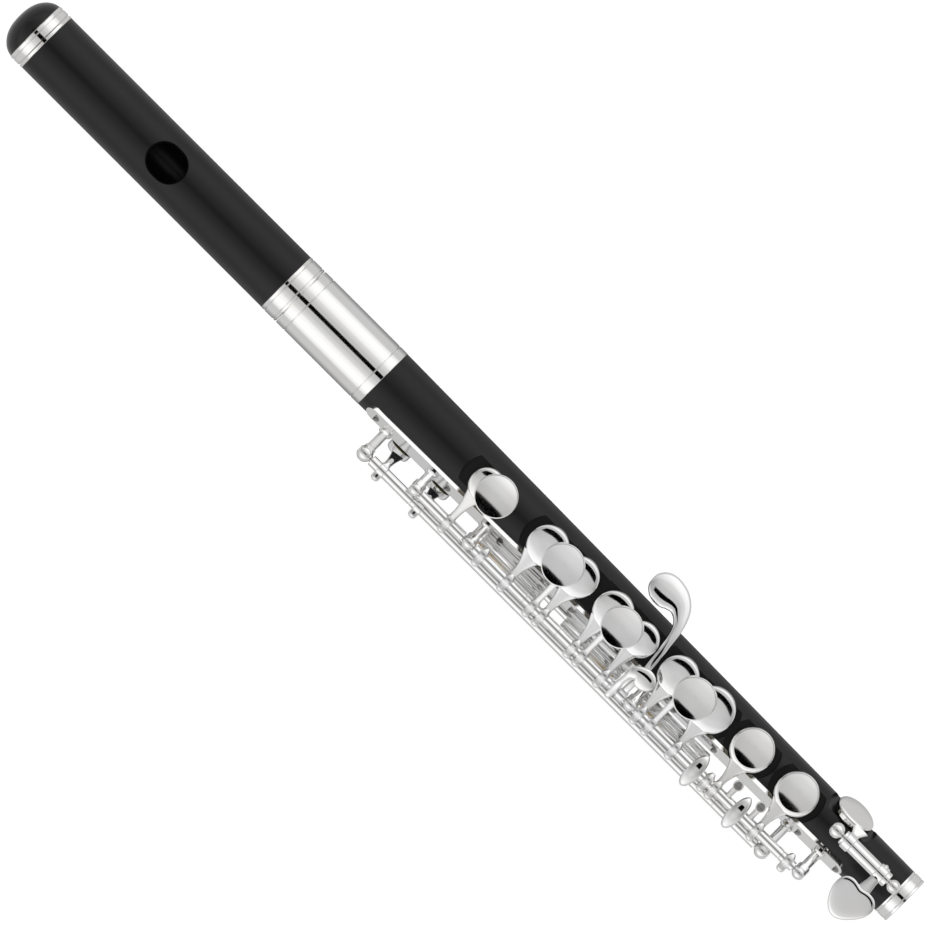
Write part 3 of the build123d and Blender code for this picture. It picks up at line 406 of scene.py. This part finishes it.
# The heart's layers from top to bottom, as (share of the outline, height in mm over its middle surface).
HEART_LAYERS = [
    (0.02, 0.55),
    (0.4, 0.55),
    (0.74, 0.51),
    (0.91, 0.38),
    (0.985, 0.1),
    (1.0, -0.25),
    (0.97, -0.5),
    (0.8, -0.62),
    (0.4, -0.66),
    (0.02, -0.66),
]
HEART_TOP = 11.9
HEART_TOP_Y = 5.0
HEART_SLOPE = 0.15
# The neck under the heart, as (y, z, half width, half depth) in mm, and its place along the tube.
HEART_NECK = [
    (-3.4, 10.6, 0.5, 0.4),
    (-1.6, 10.9, 1.3, 1.3),
    (0.6, 11.0, 1.45, 1.3),
    (2.6, 11.3, 1.35, 0.75),
    (5.2, 11.3, 1.9, 0.5),
    (7.5, 11.1, 2.2, 0.3),
]
HEART_NECK_X = 9.7
NECK_SIDES = 16


def heart_height(y):
    """Height in mm of the touch's middle surface, which falls towards the tip."""
    return HEART_TOP - HEART_SLOPE * (y - HEART_TOP_Y)


def heart_touch():
    """A domed heart for the right little finger, on a short neck."""
    middle_x, middle_y = HEART_CENTRE
    rings = []
    for share, height in HEART_LAYERS:
        ring = []
        for x, y in HEART_LINE:
            px = middle_x + (x - middle_x) * share
            py = middle_y + (y - middle_y) * share
            ring.append((px, py, heart_height(py) + height))
        rings.append(ring)
    top = smooth_mesh("d_sharp_touch_shaped", rings, "silver_plate", "d_sharp_key", 2)
    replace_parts(top, "d_sharp_touch")
    turns = [2 * pi * i / NECK_SIDES for i in range(NECK_SIDES)]
    neck = []
    for y, z, half, depth in HEART_NECK:
        neck.append([(HEART_NECK_X + half * cos(turn), y, z + depth * sin(turn)) for turn in turns])
    smooth_mesh("d_sharp_touch_neck", neck, "silver_plate", "d_sharp_key", 1)


# Plain tubes that lie beside the rib, under the key arms, in mm: three stretches as (x from, x to),
# with two tubes in each as (y, z, radius).
SIDE_STRETCHES = [(60.5, 84.0), (90.6, 110.5), (118.5, 139.5)]
SIDE_TUBES = [(11.25, 4.6, 1.08), (9.35, 3.4, 0.82)]
# Their rounded edge in mm, the end face as a share of the radius, and the small closing ring in mm.
SIDE_TUBE_EDGE = 0.3
SIDE_TUBE_FACE = 0.8
SIDE_TUBE_TIP = 0.1
# Needle springs from the posts, as (x from, x to, y, z) in mm.
NEEDLES = [
    (85.2, 72.0, 12.0, 6.1),
    (91.8, 103.0, 12.1, 6.0),
    (139.8, 126.0, 12.1, 6.1),
]
NEEDLE_RADIUS = 0.17
NEEDLE_SIDES = 10
# How a needle thins, as (share of its length, share of its radius), and how far its point drifts in mm.
NEEDLE_TAPER = [(0.0, 1.0), (0.7, 0.9), (1.0, 0.35)]
NEEDLE_DRIFT = (0.5, 0.2)


def side_tubes():
    """The tubes beside the rib, with softened ends."""
    for number, ((low, high), (y, z, radius)) in enumerate(product(SIDE_STRETCHES, SIDE_TUBES)):
        face = radius * SIDE_TUBE_FACE
        start = [(low, SIDE_TUBE_TIP), (low, face), (low + SIDE_TUBE_EDGE, radius)]
        end = [(high - SIDE_TUBE_EDGE, radius), (high, face), (high, SIDE_TUBE_TIP)]
        rings = [ring_of(x, y, z, r) for x, r in start + end]
        smooth_mesh(f"side_tube_{number}", rings, "silver_plate", "root", 0)


def needle_springs():
    """Thin gilt wires that lie along the rod and taper to a point."""
    out, up = NEEDLE_DRIFT
    for number, (start, end, y, z) in enumerate(NEEDLES):
        rings = []
        for share, thin in NEEDLE_TAPER:
            x = start + (end - start) * share
            rings.append(ring_of(x, y + out * share, z + up * share, NEEDLE_RADIUS * thin, NEEDLE_SIDES))
        smooth_mesh(f"needle_spring_{number}", rings, "brass_thread", "root", 0)


g_sharp_touch()
shake_touch()
heart_touch()
trill_touches()
side_tubes()
needle_springs()


# ---- Stage: floor, world light and camera ----
def eased(tree, value, limits, start, end):
    """A smooth step of a value between two limits."""
    node = tree.nodes.new("ShaderNodeMapRange")
    node.interpolation_type = "SMOOTHSTEP"
    tree.links.new(value, node.inputs["Value"])
    for name, number in zip(("From Min", "From Max", "To Min", "To Max"), (*limits, start, end)):
        node.inputs[name].default_value = number
    return node.outputs["Result"]


def make_floor():
    """A plain pale floor, lit evenly, that is clear from below; what the metal mirrors of it carries a
    painted shade under the instrument.
    """
    bpy.ops.mesh.primitive_plane_add(size=FLOOR_SIZE, location=(CENTRE_X, CENTRE_Y, FLOOR_Z))
    floor = bpy.context.object
    floor.name = "floor"
    n = Nodes("floor_paper")
    n.link(n.mix(n.noise(3.0, 2.0), (0.95, 0.95, 0.95), (0.97, 0.97, 0.97)), n.shader.inputs["Base Color"])
    n.set(Roughness=0.9, Emission_Color=(1, 1, 1, 1), Emission_Strength=FLOOR_GLOW)
    tree = n.tree
    path = tree.nodes.new("ShaderNodeLightPath")
    mirrored = tree.nodes.new("ShaderNodeEmission")
    reach = tree.nodes.new("ShaderNodeVectorMath")
    reach.operation = "LENGTH"
    tree.links.new(n.place, reach.inputs[0])
    # Painted shade: the glow that glossy rays see fades towards the instrument, standing in for its shadow.
    shade = eased(tree, reach.outputs["Value"], FLOOR_SHADE_REACH, *FLOOR_SHADE_LEVELS)
    tree.links.new(shade, mirrored.inputs["Strength"])
    choose = tree.nodes.new("ShaderNodeMixShader")
    output = tree.nodes["Material Output"]
    tree.links.new(path.outputs["Is Glossy Ray"], choose.inputs[0])
    tree.links.new(n.shader.outputs[0], choose.inputs[1])
    tree.links.new(mirrored.outputs[0], choose.inputs[2])
    sides = tree.nodes.new("ShaderNodeNewGeometry")
    clear = tree.nodes.new("ShaderNodeBsdfTransparent")
    from_below = tree.nodes.new("ShaderNodeMixShader")
    tree.links.new(sides.outputs["Backfacing"], from_below.inputs[0])
    tree.links.new(choose.outputs[0], from_below.inputs[1])
    tree.links.new(clear.outputs[0], from_below.inputs[2])
    tree.links.new(from_below.outputs[0], output.inputs["Surface"])
    floor.data.materials.append(n.material)


def math_node(tree, operation, first, second=None):
    """One arithmetic node; a plain number or a socket for each input."""
    node = tree.nodes.new("ShaderNodeMath")
    node.operation = operation
    for socket, value in zip(node.inputs, (first, second)):
        if isinstance(value, (int, float)):
            socket.default_value = value
        elif value is not None:
            tree.links.new(value, socket)
    return node.outputs[0]


def make_world():
    """Two long soft lights over the instrument, with a dark gap between them overhead."""
    world = bpy.data.worlds.new("studio")
    bpy.context.scene.world = world
    world.use_nodes = True
    tree = world.node_tree
    background = tree.nodes["Background"]
    background.inputs["Strength"].default_value = WORLD_STRENGTH
    direction = tree.nodes.new("ShaderNodeTexCoord")
    split = tree.nodes.new("ShaderNodeSeparateXYZ")
    tree.links.new(direction.outputs["Generated"], split.inputs[0])
    along, sideways, upward = split.outputs
    along = math_node(tree, "ABSOLUTE", along)
    angle = math_node(tree, "ARCTAN2", math_node(tree, "ABSOLUTE", sideways), upward)
    share = math_node(tree, "DIVIDE", angle, pi)
    ramp = tree.nodes.new("ShaderNodeValToRGB")
    ramp.color_ramp.interpolation = "EASE"
    stops = ramp.color_ramp.elements
    while len(stops) < len(STUDIO):
        stops.new(0.5)
    for stop, (degrees, level) in zip(stops, STUDIO):
        stop.position = degrees / 180
        stop.color = (level, level, level, 1)
    tree.links.new(share, ramp.inputs["Fac"])
    past_ends = math_node(tree, "POWER", math_node(tree, "MULTIPLY", along, END_SHADE), END_SHADE_POWER)
    near_overhead = eased(tree, share, [degrees / 180 for degrees in GAP_SIDEWAYS], 1, 0)
    near_middle = eased(tree, along, GAP_ALONG, 1, 0)
    gap = math_node(tree, "MULTIPLY", near_overhead, near_middle)
    lit = math_node(tree, "MULTIPLY", ramp.outputs["Color"], math_node(tree, "SUBTRACT", 1.0, past_ends))
    level = math_node(tree, "MULTIPLY", lit, math_node(tree, "SUBTRACT", 1.0, gap))
    colour = tree.nodes.new("ShaderNodeCombineColor")
    for channel in ("Red", "Green", "Blue"):
        tree.links.new(level, colour.inputs[channel])
    tree.links.new(colour.outputs[0], background.inputs["Color"])


def make_camera():
    """Looks down -Z, with the foot at the lower right and the rod side at the lower left."""
    data = bpy.data.cameras.new("camera")
    data.sensor_width = SENSOR
    data.lens = SENSOR * CAMERA_HEIGHT / FRAME_WIDTH
    data.clip_start = 0.01
    camera = bpy.data.objects.new("camera", data)
    bpy.context.scene.collection.objects.link(camera)
    right = Vector((-1, -1, 0)).normalized()
    up = Vector((1, -1, 0)).normalized()
    back = Vector((0, 0, 1))
    place = Matrix((right, up, back)).transposed().to_4x4()
    place.translation = (CENTRE_X, CENTRE_Y, CAMERA_HEIGHT)
    camera.matrix_world = place
    bpy.context.scene.camera = camera


make_floor()
make_world()
make_camera()
bpy.context.scene.view_settings.view_transform = "Standard"
